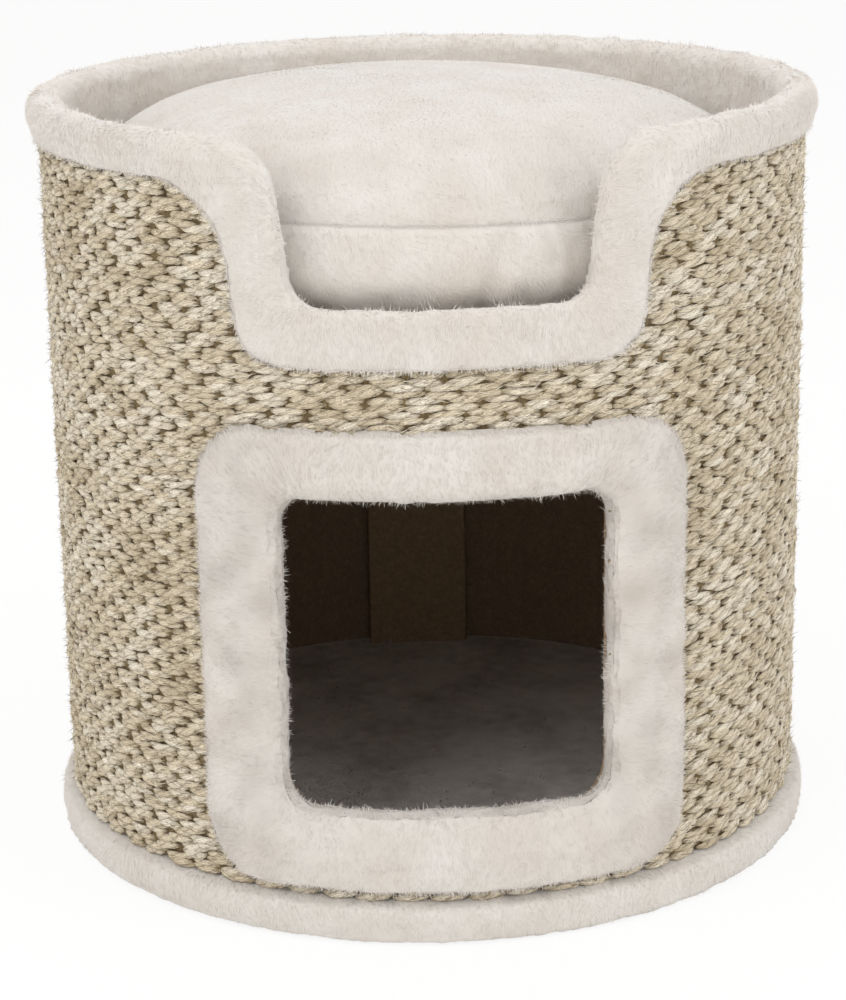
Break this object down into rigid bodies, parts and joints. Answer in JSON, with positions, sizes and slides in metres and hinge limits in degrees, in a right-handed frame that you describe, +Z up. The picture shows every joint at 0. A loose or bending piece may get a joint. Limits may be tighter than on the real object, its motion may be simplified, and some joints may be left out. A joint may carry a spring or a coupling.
{
  "type": "cat play tower",
  "caption": "Low round cat tower: sisal-wrapped barrel with a square plush-framed doorway to a cave, and a plush-lined tray with a step-in notch and a loose round cushion on top.",
  "frame": {"origin": "on the floor, under the middle of the round base", "axes": "+Z up, the doorway and the notch face -Y, +X is the tower's left as it looks out of the doorway"},
  "size_m": [0.3956, 0.3956, 0.38],
  "materials": {
    "cream_plush": "short cream faux-fur plush",
    "sisal_weave": "thick straw-coloured sisal weave",
    "brown_board": "plain brown fibreboard, matt",
    "chipboard": "raw chipboard",
    "zinc_steel": "zinc-plated"
  },
  "bodies": {
    "tower": {"base_board": "chipboard", "base_cover": "cream_plush", "wall_shell": "brown_board", "sisal_cover": "sisal_weave", "back_batten": "brown_board", "left_batten": "brown_board", "right_batten": "brown_board", "shelf_board": "chipboard", "shelf_cover": "cream_plush", "door_trim": "cream_plush", "rim_cover": "cream_plush", "base_screw_1": "zinc_steel", "base_screw_2": "zinc_steel", "base_screw_3": "zinc_steel", "batten_screw_1": "zinc_steel", "batten_screw_2": "zinc_steel", "batten_screw_3": "zinc_steel", "batten_screw_4": "zinc_steel", "batten_screw_5": "zinc_steel", "batten_screw_6": "zinc_steel", "shelf_screw_1": "zinc_steel", "shelf_screw_2": "zinc_steel", "shelf_screw_3": "zinc_steel", "shelf_screw_4": "zinc_steel", "shelf_screw_5": "zinc_steel", "shelf_screw_6": "zinc_steel"},
    "cushion": {"cushion": "cream_plush"}
  },
  "joints": [
    {"name": "cushion_lift", "type": "slide", "parent": "tower", "child": "cushion", "axis": [0, 0, 1], "range_m": [0, 0.12]}
  ]
}
